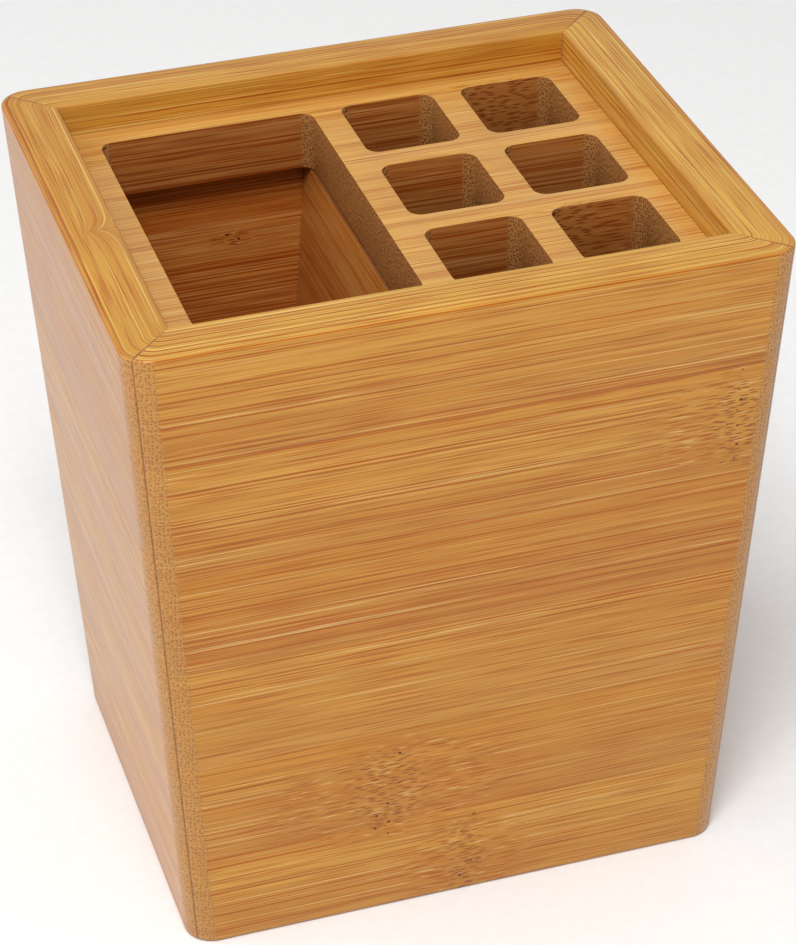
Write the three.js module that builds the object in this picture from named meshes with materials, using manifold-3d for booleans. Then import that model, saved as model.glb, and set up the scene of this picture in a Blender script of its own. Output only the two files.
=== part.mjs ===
// Bamboo desk organiser: a tapered box of four mitred walls around a base panel, with an
// inset plate that has one large opening and six small ones, and a divider below the plate.
//
// Millimetres, +Z up. The origin is the middle of the footprint, on the surface it stands on.
// The front wall faces -Y, and the large opening is on the -X side.

import * as THREE from "three";
import { ConvexGeometry } from "three/addons/geometries/ConvexGeometry.js";
import { mergeVertices } from "three/addons/utils/BufferGeometryUtils.js";
import Module from "manifold-3d";

// Driving dimensions.
const HEIGHT = 112;
const TOP = { width: 100, depth: 87.5 };
const FOOT = { width: 88.7, depth: 72 };
const WALL = 8.2; // measured level, so a little less across the board
const CORNER_RADIUS = 4.6; // upright outside edges
const JOINT_GAP = 0.3; // glue line between two boards
const BASE_THICKNESS = 6;
const PLATE_THICKNESS = 9.5;
const PLATE_RECESS = 4.8; // rim to plate
const OPENING_RADIUS = 2.2;
const LARGE_OPENING = { left: -36.7, right: -2.4, front: -29.1, back: 30.6 };
const SLOT = { width: 15.3, depth: 16.9 };
const SLOT_PITCH = { x: 19.9, y: 21.45 };
const FIRST_SLOT = { left: 2.25, back: 30.8 }; // corner of the slot nearest the back and the divider
const SLOT_COLUMNS = 2;
const SLOT_ROWS = 3;
const DIVIDER = { left: -2.7, thickness: 4.8, lean: 0.1 }; // at its top; lean is sideways per height

// Worked out from them.
const PLATE_TOP = HEIGHT - PLATE_RECESS;
const PLATE_BOTTOM = PLATE_TOP - PLATE_THICKNESS;
const CORNER_SEGMENTS = 8; // steps in each rounded corner
const OVERSHOOT = 5; // how far a cutting body passes the body that it cuts

const wasm = await Module();
wasm.setup();

// Half the outside width and depth at a height.
const halfWidth = (z) => THREE.MathUtils.lerp(FOOT.width, TOP.width, z / HEIGHT) / 2;
const halfDepth = (z) => THREE.MathUtils.lerp(FOOT.depth, TOP.depth, z / HEIGHT) / 2;

function toSolid(geometry) {
  const bare = geometry.clone();
  bare.deleteAttribute("normal");
  bare.deleteAttribute("uv");
  const merged = mergeVertices(bare, 1e-4);
  return new wasm.Manifold(new wasm.Mesh({
    numProp: 3,
    vertProperties: new Float32Array(merged.attributes.position.array),
    triVerts: new Uint32Array(merged.index.array),
  }));
}

function toGeometry(solid) {
  const mesh = solid.getMesh();
  const geometry = new THREE.BufferGeometry();
  geometry.setAttribute("position", new THREE.BufferAttribute(mesh.vertProperties, 3));
  geometry.setIndex(new THREE.BufferAttribute(mesh.triVerts, 1));
  geometry.computeVertexNormals();
  return geometry;
}

// A rectangle with rounded corners, drawn on a Shape or on the Path of a hole.
function roundedRectangle(path, left, right, front, back, radius) {
  path.moveTo(left + radius, front);
  path.lineTo(right - radius, front);
  path.absarc(right - radius, front + radius, radius, -Math.PI / 2, 0);
  path.lineTo(right, back - radius);
  path.absarc(right - radius, back - radius, radius, 0, Math.PI / 2);
  path.lineTo(left + radius, back);
  path.absarc(left + radius, back - radius, radius, Math.PI / 2, Math.PI);
  path.lineTo(left, front + radius);
  path.absarc(left + radius, front + radius, radius, Math.PI, Math.PI * 1.5);
  return path;
}

// A block between two heights whose four sides keep a level distance to the outside faces.
function taperedBlock(inset, radius, from, to) {
  const x = halfWidth(to) - inset;
  const y = halfDepth(to) - inset;
  const shape = new THREE.Shape();
  if (radius > 0) {
    roundedRectangle(shape, -x, x, -y, y, radius);
  } else {
    shape.moveTo(-x, -y).lineTo(x, -y).lineTo(x, y).lineTo(-x, y);
  }
  const block = new THREE.ExtrudeGeometry(shape, {
    depth: to - from, bevelEnabled: false, curveSegments: CORNER_SEGMENTS,
  });
  block.translate(0, 0, from);
  const points = block.attributes.position;
  for (let i = 0; i < points.count; i += 1) {
    const z = points.getZ(i);
    points.setX(i, points.getX(i) + Math.sign(points.getX(i)) * (halfWidth(z) - halfWidth(to)));
    points.setY(i, points.getY(i) + Math.sign(points.getY(i)) * (halfDepth(z) - halfDepth(to)));
  }
  return toSolid(block);
}

// The space that belongs to one wall: between the mitre planes at its two ends. side is the
// wall's outward direction, (0, -1) for the front wall and (1, 0) for the right one.
function mitreWedge(side) {
  const gapShift = JOINT_GAP / Math.SQRT2;
  const corners = [];
  for (const z of [-OVERSHOOT, HEIGHT + OVERSHOOT]) {
    for (const end of [-1, 1]) {
      for (const reach of [OVERSHOOT, -WALL - OVERSHOOT]) {
        const sign = side.x === 0 ? { x: end, y: side.y } : { x: side.x, y: end };
        const x = sign.x * (halfWidth(z) + reach) - (side.x === 0 ? end * gapShift : 0);
        const y = sign.y * (halfDepth(z) + reach) - (side.y === 0 ? end * gapShift : 0);
        corners.push(new THREE.Vector3(x, y, z));
      }
    }
  }
  return toSolid(new ConvexGeometry(corners));
}

const outside = taperedBlock(0, CORNER_RADIUS, 0, HEIGHT);
const cavity = taperedBlock(WALL, 0, -OVERSHOOT, HEIGHT + OVERSHOOT);
const ring = outside.subtract(cavity);

function wall(side) {
  return toGeometry(ring.intersect(mitreWedge(side)));
}

function basePanel() {
  return toGeometry(taperedBlock(WALL + JOINT_GAP, 0, 0, BASE_THICKNESS));
}

// The plate's outline follows the sloping walls, and its openings are cut square to it.
function compartmentPlate() {
  const x = halfWidth(PLATE_TOP);
  const y = halfDepth(PLATE_TOP);
  const shape = new THREE.Shape();
  shape.moveTo(-x, -y).lineTo(x, -y).lineTo(x, y).lineTo(-x, y);
  const { left, right, front, back } = LARGE_OPENING;
  shape.holes.push(roundedRectangle(new THREE.Path(), left, right, front, back, OPENING_RADIUS));
  for (let row = 0; row < SLOT_ROWS; row += 1) {
    for (let column = 0; column < SLOT_COLUMNS; column += 1) {
      const slotLeft = FIRST_SLOT.left + column * SLOT_PITCH.x;
      const slotBack = FIRST_SLOT.back - row * SLOT_PITCH.y;
      const slot = new THREE.Path();
      shape.holes.push(roundedRectangle(
        slot, slotLeft, slotLeft + SLOT.width, slotBack - SLOT.depth, slotBack, OPENING_RADIUS,
      ));
    }
  }
  const board = new THREE.ExtrudeGeometry(shape, {
    depth: PLATE_THICKNESS, bevelEnabled: false, curveSegments: CORNER_SEGMENTS,
  });
  board.translate(0, 0, PLATE_BOTTOM);
  const inside = taperedBlock(WALL + JOINT_GAP, 0, PLATE_BOTTOM - OVERSHOOT, PLATE_TOP + OVERSHOOT);
  return toGeometry(toSolid(board).intersect(inside));
}

// The divider stands on the base, reaches the plate, and runs from the front wall to the back. It
// leans: its foot is further left than its top.
function dividerPanel() {
  const height = PLATE_BOTTOM - BASE_THICKNESS - 2 * JOINT_GAP;
  const board = new THREE.BoxGeometry(DIVIDER.thickness, TOP.depth, height);
  board.translate(
    DIVIDER.left + DIVIDER.thickness / 2, 0, BASE_THICKNESS + JOINT_GAP + height / 2,
  );
  const top = PLATE_BOTTOM - JOINT_GAP;
  board.applyMatrix4(new THREE.Matrix4().set(
    1, 0, DIVIDER.lean, -DIVIDER.lean * top,
    0, 1, 0, 0,
    0, 0, 1, 0,
    0, 0, 0, 1,
  ));
  const inside = taperedBlock(WALL + JOINT_GAP, 0, 0, HEIGHT);
  return toGeometry(toSolid(board).intersect(inside));
}

function addPiece(group, name, geometry, color, roughness) {
  const material = new THREE.MeshStandardMaterial({ color, roughness, metalness: 0 });
  const mesh = new THREE.Mesh(geometry, material);
  mesh.name = name;
  group.add(mesh);
}

const organiser = new THREE.Group();
addPiece(organiser, "front_wall", wall({ x: 0, y: -1 }), 0xcb8f4f, 0.4);
addPiece(organiser, "back_wall", wall({ x: 0, y: 1 }), 0xcb8f4f, 0.4);
addPiece(organiser, "left_wall", wall({ x: -1, y: 0 }), 0xd19a5c, 0.4);
addPiece(organiser, "right_wall", wall({ x: 1, y: 0 }), 0xd19a5c, 0.4);
addPiece(organiser, "base_panel", basePanel(), 0xb98048, 0.5);
addPiece(organiser, "compartment_plate", compartmentPlate(), 0xdba869, 0.45);
addPiece(organiser, "divider_panel", dividerPanel(), 0xb98048, 0.5);

export default organiser;
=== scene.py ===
"""Bamboo desk organiser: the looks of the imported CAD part, in metres, +Z up.

Every board is rebuilt as a finer mesh in the place that its CAD node holds: eased edges, tight
mitres and shallow glue lines. One solid bamboo pattern gives streaks on the faces and dots where
the fibres are cut. It is laid out in each board's own directions, in millimetres: u along the
fibres, v across the strips, and w through the board.
"""

import functools
import math

import bmesh
import bpy
import numpy as np
from mathutils import Matrix, Vector


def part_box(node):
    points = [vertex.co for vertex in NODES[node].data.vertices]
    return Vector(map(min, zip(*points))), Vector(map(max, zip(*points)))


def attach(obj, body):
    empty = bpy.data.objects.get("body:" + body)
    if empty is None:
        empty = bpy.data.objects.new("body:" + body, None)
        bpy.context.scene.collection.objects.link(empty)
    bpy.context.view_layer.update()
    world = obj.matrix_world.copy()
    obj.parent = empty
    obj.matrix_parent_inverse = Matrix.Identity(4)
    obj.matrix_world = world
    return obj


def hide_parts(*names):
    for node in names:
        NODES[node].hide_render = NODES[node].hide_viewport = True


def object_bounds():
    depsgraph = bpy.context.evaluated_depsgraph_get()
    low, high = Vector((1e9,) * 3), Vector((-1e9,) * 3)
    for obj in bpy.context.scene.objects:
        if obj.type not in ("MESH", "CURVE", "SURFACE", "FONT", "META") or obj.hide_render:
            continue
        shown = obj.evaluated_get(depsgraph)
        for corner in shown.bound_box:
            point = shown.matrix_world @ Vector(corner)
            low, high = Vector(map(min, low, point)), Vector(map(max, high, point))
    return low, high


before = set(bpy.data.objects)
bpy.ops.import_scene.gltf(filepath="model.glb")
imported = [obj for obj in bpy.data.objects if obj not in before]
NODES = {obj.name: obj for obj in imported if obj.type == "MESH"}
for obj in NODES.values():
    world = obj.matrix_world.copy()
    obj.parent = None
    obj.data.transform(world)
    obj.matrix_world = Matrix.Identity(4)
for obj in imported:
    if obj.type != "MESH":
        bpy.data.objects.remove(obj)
cad_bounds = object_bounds()

MM = 0.001

# ---------------------------------------------------------------------------------------------
# Sizes, worked out from the frame. All in millimetres.


def box_mm(node):
    low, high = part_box(node)
    return low / MM, high / MM


HEIGHT = cad_bounds[1].z / MM
TOP_HALF = Vector((cad_bounds[1].x, cad_bounds[1].y)) / MM
PLATE_LOW, PLATE_HIGH = box_mm("compartment_plate")
BASE_HIGH = box_mm("base_panel")[1]
SLOPE = Vector((
    (PLATE_HIGH.x - BASE_HIGH.x) / (PLATE_HIGH.z - BASE_HIGH.z),
    (PLATE_HIGH.y - BASE_HIGH.y) / (PLATE_HIGH.z - BASE_HIGH.z),
))
CAD_GAP = 0.3  # between two boards in the CAD model
VISIBLE_GAP = 0.02  # a tight glue line
PLATE_GAP = 0.12  # a thin dark line shows all round the plate
CORNER_RADIUS = 4.6
WALL = TOP_HALF.x - SLOPE.x * (HEIGHT - BASE_HIGH.z) - BASE_HIGH.x - CAD_GAP

FOOT_EASE = 0.7
RIM_OUTER_EASE = 0.5
RIM_INNER_EASE = 0.25
PLATE_EASE = 0.35
PANEL_EASE = 0.3
MITRE_VEE = 0.05  # depth of the fine groove along each mitre
MITRE_VEE_WIDTH = 0.14
MITRE_VEE_LIMIT = math.radians(5.4)  # the groove's widest on the tight arcs inside the corner
MIN_CORNER_RADIUS = 0.25
GLUE_GROOVE_DEPTH = 0.02
GLUE_GROOVE_WIDTH = 0.3
MERGE_DISTANCE = 0.001
ON_SIDE = 0.02  # how close to a board's side a point counts as on it

STRIP = 18.9  # width of the wall strips
PLATE_STRIP = 5.4  # width of the plate's strips, which stand on edge

# Height of each wall's lowest glue line, and a place where one lies in the other boards.
FIRST_GLUE_LINE = {
    "front_wall": 17.8, "left_wall": 2.4, "right_wall": 9.0, "back_wall": 12.5,
    "compartment_plate": 0.7, "base_panel": 4.0, "divider_panel": 6.0,
}


def half_size(z):
    """Half the outside width and depth at a height."""
    return TOP_HALF - SLOPE * (HEIGHT - z)


# ---------------------------------------------------------------------------------------------
# Shader helpers


class Graph:
    """Short names for the shader nodes that the materials use."""

    def __init__(self, name):
        self.material = bpy.data.materials.new(name)
        self.material.use_nodes = True
        self.tree = self.material.node_tree
        self.tree.nodes.clear()

    def node(self, kind, inputs=None, **settings):
        node = self.tree.nodes.new("ShaderNode" + kind)
        for key, value in settings.items():
            setattr(node, key, value)
        for key, value in (inputs or {}).items():
            if isinstance(value, bpy.types.NodeSocket):
                self.tree.links.new(value, node.inputs[key])
            else:
                node.inputs[key].default_value = value
        return node

    def math(self, operation, *values):
        inputs = dict(enumerate(values))
        return self.node("Math", inputs, operation=operation).outputs[0]

    def add(self, a, b):
        return self.math("ADD", a, b)

    def total(self, values):
        """The sum of several values."""
        return functools.reduce(self.add, values)

    def times(self, a, b):
        return self.math("MULTIPLY", a, b)

    def combine(self, x, y, z):
        return self.node("CombineXYZ", {"X": x, "Y": y, "Z": z}).outputs[0]

    def separate(self, vector):
        return list(self.node("SeparateXYZ", {"Vector": vector}).outputs)

    def smooth(self, value, start, end, low=0.0, high=1.0):
        """low before start, high after end, and a smooth step between them."""
        inputs = {"Value": value, "From Min": start, "From Max": end, "To Min": low, "To Max": high}
        return self.node("MapRange", inputs, interpolation_type="SMOOTHSTEP").outputs[0]

    def noise(self, vector, scale=1.0, detail=2.0, roughness=0.5):
        inputs = {"Vector": vector, "Scale": scale, "Detail": detail, "Roughness": roughness}
        return self.node("TexNoise", inputs).outputs[0]

    def cells(self, x, y, randomness=1.0):
        """Distance to the nearest cell's middle, and three random numbers for that cell."""
        inputs = {"Vector": self.combine(x, y, 0.0), "Scale": 1.0, "Randomness": randomness}
        node = self.node("TexVoronoi", inputs, voronoi_dimensions="2D")
        return node.outputs["Distance"], self.separate(node.outputs["Color"])

    def random(self, vector):
        return self.node("TexWhiteNoise", {"Vector": vector}).outputs["Value"]

    def mix(self, factor, a, b, blend="MIX"):
        node = self.node("Mix", data_type="RGBA", blend_type=blend)
        for key, value in ((0, factor), (6, a), (7, b)):
            if isinstance(value, bpy.types.NodeSocket):
                self.tree.links.new(value, node.inputs[key])
            else:
                node.inputs[key].default_value = (*value, 1) if key else value
        return node.outputs[2]

    def lerp(self, factor, a, b):
        inputs = {0: factor, 2: a, 3: b}
        return self.node("Mix", inputs, data_type="FLOAT").outputs[0]


# ---------------------------------------------------------------------------------------------
# Bamboo


STRIP_SHIFT = 900.0  # the pattern is moved along each strip by a random share of this
GLUE_LINE_REACH = 0.14  # on either side of the line
FIBRE_WANDER = (1.2, -1.0)  # how far fibres wander across the strips and through the board
WANDER_NOISE = (0.009, 0.05)  # changes per millimetre, along the fibres and otherwise

# The node of a rim: how fast its bend fades along the fibres, how far it bends them, the depth
# where it begins and is full, and the reach of the fine line along its middle.
NODE_FADE = -0.6
NODE_BEND = 2.2
NODE_DEPTH = (2.2, 5.0)
NODE_LINE = (0.3, 0.1)

# A knot's effects begin and are full at these distances, in knot sizes. The dashes and the shade
# spread further along the fibres than the middle does.
KNOT_SPREAD = 2.6
KNOT_DASHES = (1.55, 1.2)
KNOT_SHADE = (2.0, 1.0)
KNOT_MIDDLE = (1.5, 1.1)
KNOT_PINHOLES = (1.5, 1.3)
KNOT_SLANT = 0.17  # how far a knot's middle leans, per millimetre of height
KNOT_RAGGED = 0.9  # how far the noise pushes a knot's edge, in knot sizes
RAGGED_NOISE = (0.2, 0.5)  # changes per millimetre, along and across
PINHOLE_REACH = 1.5  # on either side of a knot's middle, with a soft edge
PINHOLE_EDGE = 0.3
PINHOLE_SIZE = 0.16  # the largest, in cells
PINHOLE_CELL = (0.5, 0.6)  # cells per millimetre, along and across

# Layers of fibre bundles: the length and width of a cell, its shift, and the crowding at which a
# cell starts to show and shows in full. Dashes take the place of the others in a knot.
STREAK_LAYERS = {
    "main": (400.0, 0.56, 0.0, 0.85, 1.3),
    "thin": (250.0, 0.34, 40.0, 0.65, 1.3),
    "broken": (18.0, 0.42, 7.0, 0.65, 1.2),
    "dash_near": (2.6, 0.46, 11.0, 0.0, 0.55),
    "dash_far": (6.5, 0.44, 23.0, 0.4, 1.0),
}
STREAK_EDGE = (0.38, 0.14)  # from a cell's middle, where its streak begins and is full
STREAK_WEIGHT = {"main": 0.9, "thin": 0.5, "broken": 0.6}

# Noises stretched along the fibres: changes per millimetre along and across, and detail.
BAND_NOISE = (0.004, 0.3, 3.0)
FINE_NOISE = (0.04, 4.2, 3.0)
PALE_LONG_NOISE = (0.01, 2.4, 1.0)
PALE_SHORT_NOISE = (0.22, 2.0, 1.0)

# What adds to the crowding of the streaks.
CROWD_BAND = 1.4
CROWD_SAWN = 0.6
CROWD_INNER_FACE = 0.15
CROWD_INSIDE = 0.35

END_DOT_CELL = (1.9, 1.75)  # cells per millimetre
END_RAGGED = -0.06  # how far a streak holds the end grain back
INNER_FACE = (WALL - 0.6, WALL - 0.2)  # the depth where a wall's inner face begins and is full
CORE = (0.1, 1.2)  # the depth where a wall's paler core begins and is full
LOW_SIDE = (0.6, 0.05)  # the share of a strip where its darker lower side begins and is full

# How much of its colour each effect shows.
LOW_SIDE_SHARE = 0.5
KNOT_SHADE_SHARE = 0.4
KNOT_STREAK_SHARE = 0.8
GLUE_LINE_SHARE = 0.4
NODE_LINE_SHARE = 0.35
END_GROUND_SHARE = 0.75
JOINT_SHARE = 0.5
FINE_SHADE = (0.82, 1.13)  # the fine fibres' darkest and palest, as a factor

RELIEF = {"streak": -0.35, "fine": 0.25, "glue_line": -0.5, "hole": -3.0}
RELIEF_STRENGTH = 0.3
RELIEF_DEPTH = 0.05 * MM
ROUGHNESS = (0.38, 0.46)
SAWN_ROUGHNESS = 0.15  # added on sawn faces
VARNISH_IOR = 1.5
WARM_GLOSS = (1.0, 0.55, 0.18, 1.0)
COAT_WEIGHT = 0.35
COAT_ROUGHNESS = 0.2


def strip_pattern(g, v, seed, strip, first_line):
    """A strip's share from its lower edge to its upper one, two random numbers for it, and a
    line along its edges."""
    place = g.math("DIVIDE", g.math("SUBTRACT", v, first_line), strip)
    number = g.math("FLOOR", place)
    share = g.math("FRACT", place)
    randoms = [g.random(g.combine(number, seed, salt)) for salt in (0.5, 7.5)]
    to_line = g.math("MINIMUM", share, g.math("SUBTRACT", 1.0, share))
    glue_line = g.smooth(to_line, GLUE_LINE_REACH / strip, 0.0)
    return share, randoms, glue_line


def fibre_paths(g, u, u_own, v, w, rim_node):
    """v and w bent as the fibres run, and the fine line along a node. Fibres wander a little,
    and bend towards the outside face beside a node."""
    along, otherwise = WANDER_NOISE
    slow = g.combine(g.times(u_own, along), g.times(v, otherwise), g.times(w, otherwise))
    wander = g.math("SUBTRACT", g.noise(slow, detail=1.0), 0.5)
    v_fibre = g.add(v, g.times(wander, FIBRE_WANDER[0]))
    w_fibre = g.add(w, g.times(wander, FIBRE_WANDER[1]))
    if rim_node is None:
        return v_fibre, w_fibre, 0.0
    away = g.math("ABSOLUTE", g.math("SUBTRACT", u, rim_node))
    bend = g.math("EXPONENT", g.times(away, NODE_FADE))
    inner = g.smooth(w, *NODE_DEPTH)
    w_fibre = g.add(w_fibre, g.times(g.times(bend, inner), NODE_BEND))
    return v_fibre, w_fibre, g.times(g.smooth(away, *NODE_LINE), inner)


def knot_areas(g, u, v, seed, knots):
    """Where the long streaks break up into dashes, where a knot darkens the board, where the
    dashes are short, and the line along a knot's middle that has pinholes."""
    dashes, shade, middle, pinholes = 0.0, 0.0, 0.0, 0.0
    along, sideways = RAGGED_NOISE
    ragged = g.noise(g.combine(g.times(u, along), g.times(v, sideways), seed), detail=3.0)
    for place, height, half_length, half_height in knots:
        du = g.math("SUBTRACT", u, place)
        dv = g.math("SUBTRACT", v, height)
        height_share = g.math("POWER", g.math("DIVIDE", dv, half_height), 2.0)

        def distance(length):
            length_share = g.math("POWER", g.math("DIVIDE", du, length), 2.0)
            far = g.math("SQRT", g.add(length_share, height_share))
            return g.add(far, g.times(ragged, KNOT_RAGGED))

        near = distance(half_length)
        spread = distance(half_length * KNOT_SPREAD)
        dashes = g.math("MAXIMUM", dashes, g.smooth(spread, *KNOT_DASHES))
        shade = g.math("MAXIMUM", shade, g.smooth(spread, *KNOT_SHADE))
        middle = g.math("MAXIMUM", middle, g.smooth(near, *KNOT_MIDDLE))
        line = g.math("ABSOLUTE", g.add(du, g.times(dv, -KNOT_SLANT)))
        line = g.smooth(line, PINHOLE_REACH + PINHOLE_EDGE, PINHOLE_REACH - PINHOLE_EDGE)
        pinholes = g.math("MAXIMUM", pinholes, g.times(line, g.smooth(near, *KNOT_PINHOLES)))
    return dashes, shade, middle, pinholes


def pinhole_marks(g, u, v, seed, area):
    """Small round holes of different sizes, only in the given area."""
    along = g.times(u, PINHOLE_CELL[0])
    distance, numbers = g.cells(along, g.times(g.add(v, seed), PINHOLE_CELL[1]))
    size = g.smooth(numbers[0], 0.35, 1.0, 0.0, PINHOLE_SIZE)
    return g.times(g.smooth(g.math("SUBTRACT", size, distance), -0.03, 0.05), area)


def end_dots(g, u, v, w, on_edge):
    """The fibre bundles where they are cut across."""
    if on_edge:
        across_cut, down_cut = g.math("SUBTRACT", u, v), w
    else:
        across_cut, down_cut = g.add(g.math("ABSOLUTE", u), w), v
    distance, numbers = g.cells(
        g.times(across_cut, END_DOT_CELL[0]), g.times(down_cut, END_DOT_CELL[1]), randomness=0.7,
    )
    strength = g.smooth(numbers[0], 0.0, 0.6, 0.45, 1.0)
    return g.times(g.smooth(distance, 0.4, 0.2), strength)


def bamboo(name, tone, seed, strip, first_line, knots=(), on_edge=False, rim_node=None,
           with_inside=False):
    """A board's material. tone holds its colours. strip is the width of its strips, and
    first_line the place of one glue line. knots are (along, across, half length, half height) in
    millimetres. on_edge strips show their dense skin side once per strip. rim_node is the place
    of a node along the board. with_inside boards are browner on their inner face, and darker and
    redder below the plate, which is painted shade."""
    g = Graph(name)
    board = g.node("Attribute", attribute_name="board").outputs["Vector"]
    sawn = g.node("Attribute", attribute_name="sawn").outputs["Fac"]
    end_grain = g.node("Attribute", attribute_name="end_grain").outputs["Fac"]
    joint = g.node("Attribute", attribute_name="joint").outputs["Fac"]
    u, v, w = g.separate(board)

    # Layout.
    strip_share, strip_random, glue_line = strip_pattern(g, v, seed, strip, first_line)
    skin = strip_share if on_edge else g.math("DIVIDE", w, WALL)
    u_own = g.add(u, g.times(strip_random[0], STRIP_SHIFT))
    v_fibre, w_fibre, node_line = fibre_paths(g, u, u_own, v, w, rim_node)
    knot, knot_shade, knot_middle, pinholes = knot_areas(g, u, v, seed, knots)
    if with_inside:
        inner_face = g.smooth(w, *INNER_FACE)
        # The inner face below the plate, where shade is painted and the streaks crowd.
        inside = g.times(inner_face, g.smooth(v, PLATE_HIGH.z, PLATE_LOW.z))

    # Fibre bundles: long thin cells, dark in the middle. Every cell has its own strength. A face
    # of a board has either v or w constant, so their sum runs across the fibres on all of them.
    across = g.add(v_fibre, w_fibre)

    def stretched_noise(along, sideways, detail):
        place = g.combine(g.times(u_own, along), g.times(across, sideways), seed)
        return g.noise(place, detail=detail)

    def streaks(length, width, shift, weakest, strongest):
        distance, numbers = g.cells(
            g.math("DIVIDE", g.add(u_own, shift), length),
            g.math("DIVIDE", g.add(across, shift), width),
        )
        strength = g.smooth(g.add(numbers[0], crowd), weakest, strongest)
        return g.times(g.smooth(distance, *STREAK_EDGE), strength)

    band = stretched_noise(*BAND_NOISE)
    crowd = g.add(g.times(band, CROWD_BAND), g.times(skin, tone["skin_fade"]))
    crowd = g.add(crowd, g.times(sawn, CROWD_SAWN))
    if with_inside:
        crowd_inner = g.times(inner_face, CROWD_INNER_FACE)
        crowd = g.add(crowd, g.add(crowd_inner, g.times(inside, CROWD_INSIDE)))
    layer = {key: streaks(*sizes) for key, sizes in STREAK_LAYERS.items()}
    long_streak = g.total(g.times(layer[key], weight) for key, weight in STREAK_WEIGHT.items())
    long_streak = g.math("MINIMUM", long_streak, 1.0)
    dash = g.lerp(knot_middle, layer["dash_far"], layer["dash_near"])
    streak = g.lerp(knot, long_streak, dash)

    fine = stretched_noise(*FINE_NOISE)
    pale_long = g.add(stretched_noise(*PALE_LONG_NOISE), g.times(sawn, 0.05))
    pale_long = g.smooth(pale_long, 0.60, 0.70)
    pale_short = g.smooth(stretched_noise(*PALE_SHORT_NOISE), 0.58, 0.70, 0.0, 0.8)
    pale = g.lerp(knot, pale_long, pale_short)

    # Colour, from the ground up.
    colour = g.mix(g.smooth(band, 0.35, 0.65), tone["deep"], tone["ground"])
    low_side = g.times(g.smooth(strip_share, *LOW_SIDE), strip_random[0])
    low_side = g.times(low_side, LOW_SIDE_SHARE)
    strip_shade = g.add(g.times(strip_random[1], tone["strip_share"]), low_side)
    strip_shade = g.add(strip_shade, g.times(knot_shade, KNOT_SHADE_SHARE))
    colour = g.mix(g.math("MINIMUM", strip_shade, 1.0), colour, tone["strip"])
    colour = g.mix(g.times(pale, tone["pale_share"]), colour, tone["pale"])
    colour = g.mix(g.smooth(w, *CORE), colour, tone["core_tint"], "MULTIPLY")
    streak_tint = g.mix(
        g.times(knot_middle, KNOT_STREAK_SHARE), tone["streak"], tone["knot_streak"],
    )
    streak_share = g.add(tone["streak_share"], g.times(sawn, tone["sawn_contrast"]))
    colour = g.mix(g.times(streak, streak_share), colour, streak_tint)
    fine_shade = g.smooth(fine, 0.25, 0.75, *FINE_SHADE)
    colour = g.mix(1.0, colour, g.combine(fine_shade, fine_shade, fine_shade), "MULTIPLY")
    node_line = g.times(node_line, NODE_LINE_SHARE)
    dark_line = g.math("MAXIMUM", g.times(glue_line, GLUE_LINE_SHARE), node_line)
    colour = g.mix(dark_line, colour, tone["streak"])

    # Fibres cut across have a duller ground with dark dots. A mitre shows a dark joint.
    end = g.add(end_grain, g.times(streak, END_RAGGED))
    end = g.smooth(end, tone["end_from"], tone["end_to"])
    colour = g.mix(g.times(end, END_GROUND_SHARE), colour, tone["end_ground"])
    dots = g.times(end_dots(g, u, v, w, on_edge), end)
    colour = g.mix(g.times(dots, tone["dot_share"]), colour, tone["end_dot"])
    colour = g.mix(g.smooth(joint, 0.5, 1.0, 0.0, JOINT_SHARE), colour, tone["joint"])

    # Sawn and routed faces are browner; the divider's much darker top edge under the plate is
    # painted shade. The inner faces below the plate are darker and redder: painted shade.
    colour = g.mix(sawn, colour, tone["sawn"], "MULTIPLY")
    if with_inside:
        colour = g.mix(inner_face, colour, tone["inner_face"], "MULTIPLY")
        colour = g.mix(inside, colour, tone["inside"], "MULTIPLY")
    hole = pinhole_marks(g, u, v, seed, pinholes)
    colour = g.mix(hole, colour, tone["hole"])

    # Relief and gloss.
    parts = {"streak": streak, "fine": fine, "glue_line": glue_line, "hole": hole}
    relief = g.total(g.times(parts[key], height) for key, height in RELIEF.items())
    bump = g.node("Bump", {
        "Strength": RELIEF_STRENGTH, "Distance": RELIEF_DEPTH, "Height": relief,
    })
    rough = g.add(g.smooth(fine, 0.2, 0.8, *ROUGHNESS), g.times(sawn, SAWN_ROUGHNESS))
    shader = g.node("BsdfPrincipled", {
        "Base Color": colour, "Roughness": rough, "Normal": bump.outputs[0],
        "IOR": VARNISH_IOR, "Specular Tint": WARM_GLOSS,
        "Coat Weight": COAT_WEIGHT, "Coat Roughness": COAT_ROUGHNESS, "Coat IOR": VARNISH_IOR,
    })
    output = g.node("OutputMaterial", {"Surface": shader.outputs[0]})
    output.is_active_output = True
    return g.material


# A tone's colours are linear. ground and deep are the two grounds, strip the darker tone of some
# strips, pale the hairlines, streak the fibre bundles, knot_streak those in a knot. core_tint
# multiplies all but the outer skin. end_ and dot_ values belong to fibres cut across, and joint
# to a mitre. sawn, inner_face and the multiply below the plate act on those faces; the one below
# the plate is painted shade. A _share is how much of its colour shows, sawn_contrast is added to
# streak_share on sawn faces, and skin_fade is added to the crowding of the streaks from the skin
# side to the other.
WALL_TONE = {
    "ground": (0.56, 0.288, 0.054), "deep": (0.49, 0.215, 0.030), "strip": (0.42, 0.145, 0.014),
    "strip_share": 0.5, "pale": (0.65, 0.43, 0.15), "pale_share": 0.7,
    "streak": (0.34, 0.074, 0.004), "knot_streak": (0.21, 0.055, 0.01),
    "streak_share": 0.95, "sawn_contrast": 0.0, "skin_fade": -0.35,
    "core_tint": (1.06, 1.20, 1.04), "end_ground": (0.45, 0.22, 0.06),
    "end_from": 0.04, "end_to": 0.16, "end_dot": (0.20, 0.060, 0.012), "dot_share": 0.65,
    # The multiply for the inner faces below the plate is painted shade.
    "sawn": (1, 1, 1), "inside": (0.855, 0.645, 0.88), "inner_face": (0.96, 0.90, 0.92),
    "hole": (0.06, 0.02, 0.008), "joint": (0.14, 0.04, 0.01),
}
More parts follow.
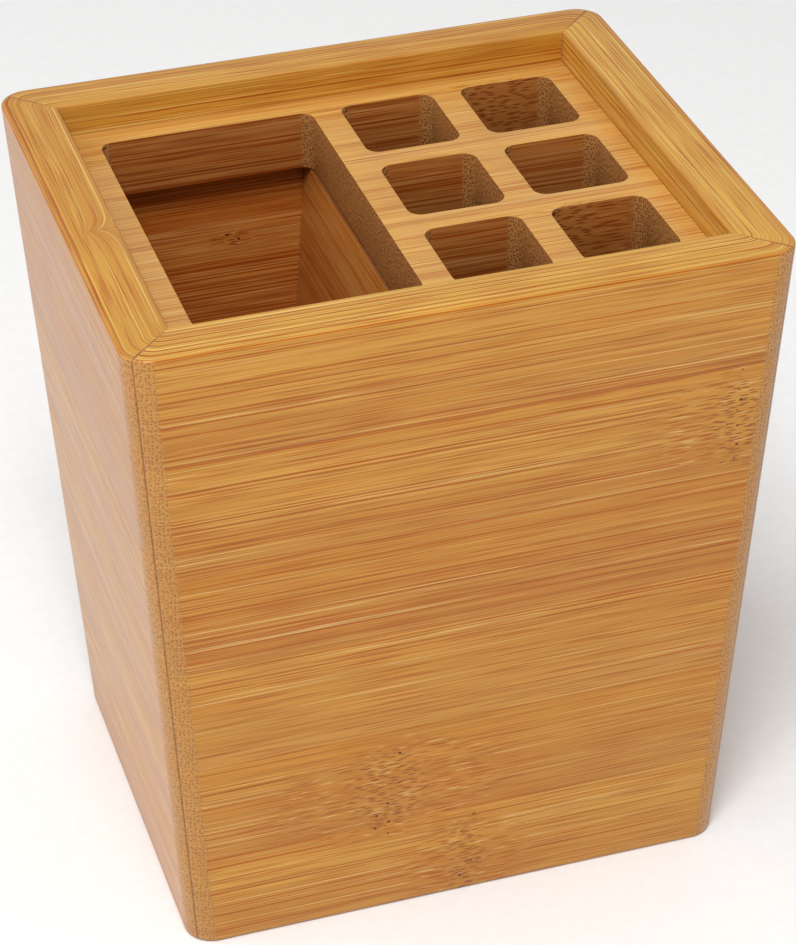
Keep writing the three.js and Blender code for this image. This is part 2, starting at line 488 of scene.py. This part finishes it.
PLATE_TONE = {
    **WALL_TONE,
    "ground": (0.61, 0.330, 0.082), "deep": (0.56, 0.28, 0.060), "strip": (0.52, 0.245, 0.048),
    "strip_share": 0.45, "streak_share": 0.7, "sawn_contrast": 0.2, "skin_fade": -0.45,
    "core_tint": (1, 1, 1),
    "end_ground": (0.60, 0.39, 0.12), "end_dot": (0.10, 0.035, 0.01), "dot_share": 0.9,
    "end_from": 0.06, "end_to": 0.4,
    "sawn": (0.64, 0.455, 0.45),
}
INNER_TONE = {
    **WALL_TONE,
    "ground": (0.60, 0.240, 0.050), "deep": (0.53, 0.185, 0.030), "strip": (0.45, 0.130, 0.015),
    "pale": (0.66, 0.36, 0.12), "streak": (0.33, 0.06, 0.003), "core_tint": (1, 1, 1),
    # On the divider, sawn darkens its top edge, which lies under the plate: partly the browner sawn
    # edge, mostly painted shade.
    "sawn": (0.35, 0.28, 0.28),
}

# ---------------------------------------------------------------------------------------------
# Board meshes


X_AXIS, Y_AXIS = (1, 0, 0), (0, 1, 0)
SMOOTH_ANGLE = math.radians(35)
FLAT_ANGLE = math.radians(1)
SHARP_ANGLE = math.radians(50)


def finish_board(piece, node, material, fibre_axis):
    """Gives a board its finish, and puts it in place of its CAD node. The end_grain attribute is
    1 where a face cuts straight across the fibres."""
    piece.data.materials.clear()
    piece.data.materials.append(material)
    piece.data.shade_smooth()
    piece.data.set_sharp_from_angle(angle=SMOOTH_ANGLE)
    normals = np.zeros(len(piece.data.loops) * 3, np.float32)
    piece.data.corner_normals.foreach_get("vector", normals)
    normals = normals.reshape(-1, 3)
    end_grain = piece.data.attributes.new("end_grain", "FLOAT", "CORNER")
    end_grain.data.foreach_set("value", np.abs(normals @ np.array(fibre_axis, np.float32)))
    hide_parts(node)
    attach(piece, "root")


def set_board_coordinates(mesh, coordinates):
    """Stores each point's place along the fibres, across the strips and through the board."""
    board = mesh.attributes.new("board", "FLOAT_VECTOR", "POINT")
    board.data.foreach_set("vector", np.array(coordinates, np.float32).ravel())


def arc(middle, radius, start, end, steps=5):
    """Points (inset, height) on an arc, with angles in degrees."""
    for step in range(steps + 1):
        angle = math.radians(start + (end - start) * step / steps)
        yield (middle[0] + radius * math.cos(angle), middle[1] + radius * math.sin(angle))


def wall_profile(first_line):
    """The wall's cross-section as (inset from the outside face, height), going round once."""
    points = list(arc((FOOT_EASE, FOOT_EASE), FOOT_EASE, 270, 180))
    line = first_line
    while line < HEIGHT - 2 * RIM_OUTER_EASE:
        if line > 2 * FOOT_EASE:
            half = GLUE_GROOVE_WIDTH / 2
            points += [(0, line - half), (GLUE_GROOVE_DEPTH, line), (0, line + half)]
        line += STRIP
    rim = HEIGHT - RIM_OUTER_EASE
    points += arc((RIM_OUTER_EASE, rim), RIM_OUTER_EASE, 180, 90)
    rim = HEIGHT - RIM_INNER_EASE
    points += arc((WALL - RIM_INNER_EASE, rim), RIM_INNER_EASE, 90, 0)
    points += arc((WALL - FOOT_EASE / 2, FOOT_EASE / 2), FOOT_EASE / 2, 0, -90)
    return points


def inward(points):
    """The inward unit normal at each point of a closed profile that runs clockwise."""
    closed = np.array(points)
    ahead = np.roll(closed, -1, axis=0) - np.roll(closed, 1, axis=0)
    ahead /= np.linalg.norm(ahead, axis=1, keepdims=True)
    return np.stack([ahead[:, 1], -ahead[:, 0]], axis=1)


ARC_STEPS = 8  # over the 45 degrees from a mitre to the flat face
MITRE_EDGE_JOINT = 0.8  # the joint attribute at the groove's edge. It is 1 at the bottom


def wall_columns():
    """The stations along a wall as (side, share of the 45 degree arc, is it the very end)."""
    turn = [(share / ARC_STEPS, False) for share in range(ARC_STEPS - 1, -1, -1)]
    left = [(-1, 1.0, True), (-1, 1.0, False)] + [(-1, share, end) for share, end in turn]
    return left + [(1, share, end) for _, share, end in reversed(left)]


def wall_board(name, axis, sign):
    """One tapered wall with mitred ends. axis is 0 if the wall runs along X, 1 along Y, and sign
    is the side of the other axis that it stands on."""
    profile = wall_profile(FIRST_GLUE_LINE[name])
    normals = inward(profile)
    vertices, coordinates, joints = [], [], []
    columns = wall_columns()
    for side, share, is_end in columns:
        for (inset, z), (toward, upward) in zip(profile, normals):
            if is_end:
                inset, z = inset + toward * MITRE_VEE, z + upward * MITRE_VEE
            size = half_size(z)
            long_half, out_half = size[axis] - inset, size[1 - axis] - inset
            radius = max(CORNER_RADIUS - inset, MIN_CORNER_RADIUS)
            angle = math.radians(45) * share
            if share == 1.0 and not is_end:
                angle -= min(MITRE_VEE_WIDTH / radius, MITRE_VEE_LIMIT)
            along = side * (long_half - radius * (1 - math.sin(angle)))
            out = sign * (out_half - radius * (1 - math.cos(angle)))
            if is_end:
                along -= side * VISIBLE_GAP
            point = (along, out, z) if axis == 0 else (out, along, z)
            vertices.append(Vector(point) * MM)
            coordinates.append((along, z, inset))
            joints.append(1.0 if is_end else MITRE_EDGE_JOINT * (share == 1.0))
    rows = len(profile)
    faces = []
    for column in range(len(columns) - 1):
        for row in range(rows):
            a = column * rows + row
            b = column * rows + (row + 1) % rows
            faces.append((a, b, b + rows, a + rows))
    last = (len(columns) - 1) * rows
    faces.append(tuple(range(rows - 1, -1, -1)))
    faces.append(tuple(range(last, last + rows)))
    mesh = bpy.data.meshes.new(name + "_board")
    mesh.from_pydata(vertices, [], faces)
    set_board_coordinates(mesh, coordinates)
    mesh.attributes.new("joint", "FLOAT", "POINT").data.foreach_set("value", joints)
    shape = bmesh.new()
    shape.from_mesh(mesh)
    bmesh.ops.recalc_face_normals(shape, faces=shape.faces)
    shape.to_mesh(mesh)
    shape.free()
    piece = bpy.data.objects.new(name + "_board", mesh)
    bpy.context.scene.collection.objects.link(piece)
    return piece


def panel_board(node, ease, widen, axes):
    """A board made from its CAD node: widened until its glue lines are tight, with eased edges.
    axes are the row axes along the fibres, across the strips and through the board."""
    piece = bpy.data.objects.new(node + "_board", NODES[node].data.copy())
    bpy.context.scene.collection.objects.link(piece)
    shape = bmesh.new()
    shape.from_mesh(piece.data)
    bmesh.ops.remove_doubles(shape, verts=shape.verts, dist=MERGE_DISTANCE * MM)
    bmesh.ops.dissolve_limit(
        shape, angle_limit=FLAT_ANGLE, verts=shape.verts, edges=shape.edges,
    )
    for vertex in shape.verts:
        half = (half_size(vertex.co.z / MM) - Vector((WALL + CAD_GAP, WALL + CAD_GAP))) * MM
        for axis in range(2):
            if abs(abs(vertex.co[axis]) - half[axis]) < ON_SIDE * MM:
                vertex.co[axis] += math.copysign(widen * MM, vertex.co[axis])
    sharp = [e for e in shape.edges if e.calc_face_angle(0) > SHARP_ANGLE]
    bmesh.ops.bevel(
        shape, geom=sharp, offset=ease * MM, segments=4, profile=0.5, affect="EDGES",
        clamp_overlap=True,
    )
    shape.to_mesh(piece.data)
    shape.free()
    points = np.array([v.co for v in piece.data.vertices], np.float32) / MM
    top = box_mm(node)[1].z
    origin = np.array([0.0, 0.0, top if axes[2] == 2 else 0.0])
    set_board_coordinates(piece.data, (points - origin)[:, list(axes)])
    return piece


UPRIGHT_FADE = 1.6  # a face is marked less by this times the upward part of its normal
LYING = 0.3  # a face lies flat if the upward part of its normal is more than this


def mark_sawn(piece, upright=True):
    """Marks the faces cut with a saw or router: those that stand upright, or else those that lie
    flat. Eased edges are marked in part."""
    normals = np.zeros(len(piece.data.polygons) * 3, np.float32)
    piece.data.polygons.foreach_get("normal", normals)
    flatness = np.abs(normals.reshape(-1, 3)[:, 2])
    share = np.clip(1 - flatness * UPRIGHT_FADE, 0, 1) if upright else flatness > LYING
    sawn = piece.data.attributes.new("sawn", "FLOAT", "FACE")
    sawn.data.foreach_set("value", share.astype(np.float32))


# ---------------------------------------------------------------------------------------------
# The seven boards

# Each wall: the axis it runs along, its side, the pattern's seed, its knots and its rim's node.
WALLS = {
    "front_wall": (
        0, -1, 1.0, ((-12.0, 24.5, 7.5, 10.0), (0.5, 7.0, 4.0, 9.0), (41.5, 84.0, 5.0, 9.0)), None,
    ),
    "back_wall": (0, 1, 2.0, ((-15.5, 85.0, 1.6, 1.6),), None),
    "left_wall": (1, -1, 3.0, (), -5.0),
    "right_wall": (1, 1, 4.0, ((8.0, 47.0, 5.0, 8.0),), None),
}
PLATE_KNOTS = ((29.8, 30.8, 6.0, 1.0), (26.0, -12.1, 4.0, 1.0))

for wall_name, (wall_axis, wall_sign, seed, knots, rim_node) in WALLS.items():
    wall_material = bamboo(
        f"{wall_name}_bamboo", WALL_TONE, seed, STRIP, FIRST_GLUE_LINE[wall_name], knots,
        rim_node=rim_node, with_inside=True,
    )
    board = wall_board(wall_name, wall_axis, wall_sign)
    fibre = Y_AXIS if wall_axis else X_AXIS
    finish_board(board, wall_name, wall_material, fibre)

plate = panel_board("compartment_plate", PLATE_EASE, CAD_GAP - PLATE_GAP, (0, 1, 2))
mark_sawn(plate)
plate_material = bamboo(
    "plate_bamboo", PLATE_TONE, 5.0, PLATE_STRIP, FIRST_GLUE_LINE["compartment_plate"],
    PLATE_KNOTS, on_edge=True,
)
finish_board(plate, "compartment_plate", plate_material, X_AXIS)

base = panel_board("base_panel", PANEL_EASE, CAD_GAP - VISIBLE_GAP, (0, 1, 2))
base_material = bamboo("base_bamboo", INNER_TONE, 6.0, STRIP, FIRST_GLUE_LINE["base_panel"])
finish_board(base, "base_panel", base_material, X_AXIS)

divider = panel_board("divider_panel", PANEL_EASE, CAD_GAP - VISIBLE_GAP, (1, 2, 0))
# Its flat edges are sawn. INNER_TONE makes the top one, under the plate, much darker: painted
# shade.
mark_sawn(divider, upright=False)
divider_material = bamboo(
    "divider_bamboo", INNER_TONE, 7.0, STRIP, FIRST_GLUE_LINE["divider_panel"],
)
finish_board(divider, "divider_panel", divider_material, Y_AXIS)

# ---------------------------------------------------------------------------------------------
# Stage, light and camera

FLOOR_SIZE = 30.0  # in metres, like all of the stage
FLOOR_GRAIN = 400.0
FLOOR_SHADE = (0.86, 0.88)


def make_floor():
    mesh = bpy.data.meshes.new("floor")
    half = FLOOR_SIZE / 2
    corners = [(-half, -half, 0), (half, -half, 0), (half, half, 0), (-half, half, 0)]
    mesh.from_pydata(corners, [], [(0, 1, 2, 3)])
    floor = bpy.data.objects.new("floor", mesh)
    bpy.context.scene.collection.objects.link(floor)
    g = Graph("floor_paper")
    grain = g.noise(g.node("NewGeometry").outputs["Position"], scale=FLOOR_GRAIN)
    shade = g.smooth(grain, 0.3, 0.7, *FLOOR_SHADE)
    shader = g.node("BsdfPrincipled", {
        "Base Color": g.combine(shade, shade, shade), "Roughness": 0.8,
    })
    g.node("OutputMaterial", {"Surface": shader.outputs[0]})
    mesh.materials.append(g.material)


def aim(thing, place, target):
    thing.location = place
    thing.rotation_euler = (Vector(target) - Vector(place)).to_track_quat("-Z", "Y").to_euler()


def view_back(azimuth, elevation):
    """The direction from the object, for angles in degrees. Azimuth 0 is in front, 90 right."""
    a, e = math.radians(azimuth), math.radians(elevation)
    return Vector((math.sin(a) * math.cos(e), -math.cos(a) * math.cos(e), math.sin(e)))


def area_light(name, azimuth, elevation, distance, size, power):
    """A square soft box that looks at the object's middle."""
    data = bpy.data.lights.new(name, "AREA")
    data.size = size
    data.energy = power
    light = bpy.data.objects.new(name, data)
    bpy.context.scene.collection.objects.link(light)
    middle = Vector((0, 0, HEIGHT * MM / 2))
    aim(light, middle + view_back(azimuth, elevation) * distance, middle)


WORLD_COLOUR = (1.0, 0.995, 0.985, 1)
WORLD_STRENGTH = 0.55


def make_light():
    area_light("key", azimuth=-25, elevation=58, distance=0.9, size=0.32, power=6.0)
    area_light("fill", azimuth=-100, elevation=30, distance=1.2, size=0.9, power=3.9)
    world = bpy.data.worlds.new("studio")
    world.use_nodes = True
    background = world.node_tree.nodes["Background"]
    background.inputs["Color"].default_value = WORLD_COLOUR
    background.inputs["Strength"].default_value = WORLD_STRENGTH
    bpy.context.scene.world = world
    bpy.context.scene.view_settings.view_transform = "Standard"


CAMERA_AZIMUTH = -16.93
CAMERA_ELEVATION = 33.12
CAMERA_ROLL = -0.99
CAMERA_DISTANCE = 4.548  # in heights of the object, like the target
CAMERA_TARGET = Vector((0.0198, 0.0137, 0.5))
CAMERA_LENS = 121.1


def make_camera():
    data = bpy.data.cameras.new("camera")
    data.lens = CAMERA_LENS
    camera = bpy.data.objects.new("camera", data)
    bpy.context.scene.collection.objects.link(camera)
    back = view_back(CAMERA_AZIMUTH, CAMERA_ELEVATION)
    right = Vector((0, 0, 1)).cross(back).normalized()
    up = back.cross(right)
    turn = Matrix((right, up, back)).transposed().to_4x4()
    turn @= Matrix.Rotation(math.radians(CAMERA_ROLL), 4, "Z")
    place = (CAMERA_TARGET + back * CAMERA_DISTANCE) * HEIGHT * MM
    camera.matrix_world = Matrix.Translation(place) @ turn
    bpy.context.scene.camera = camera


make_floor()
make_light()
make_camera()

bpy.context.view_layer.update()
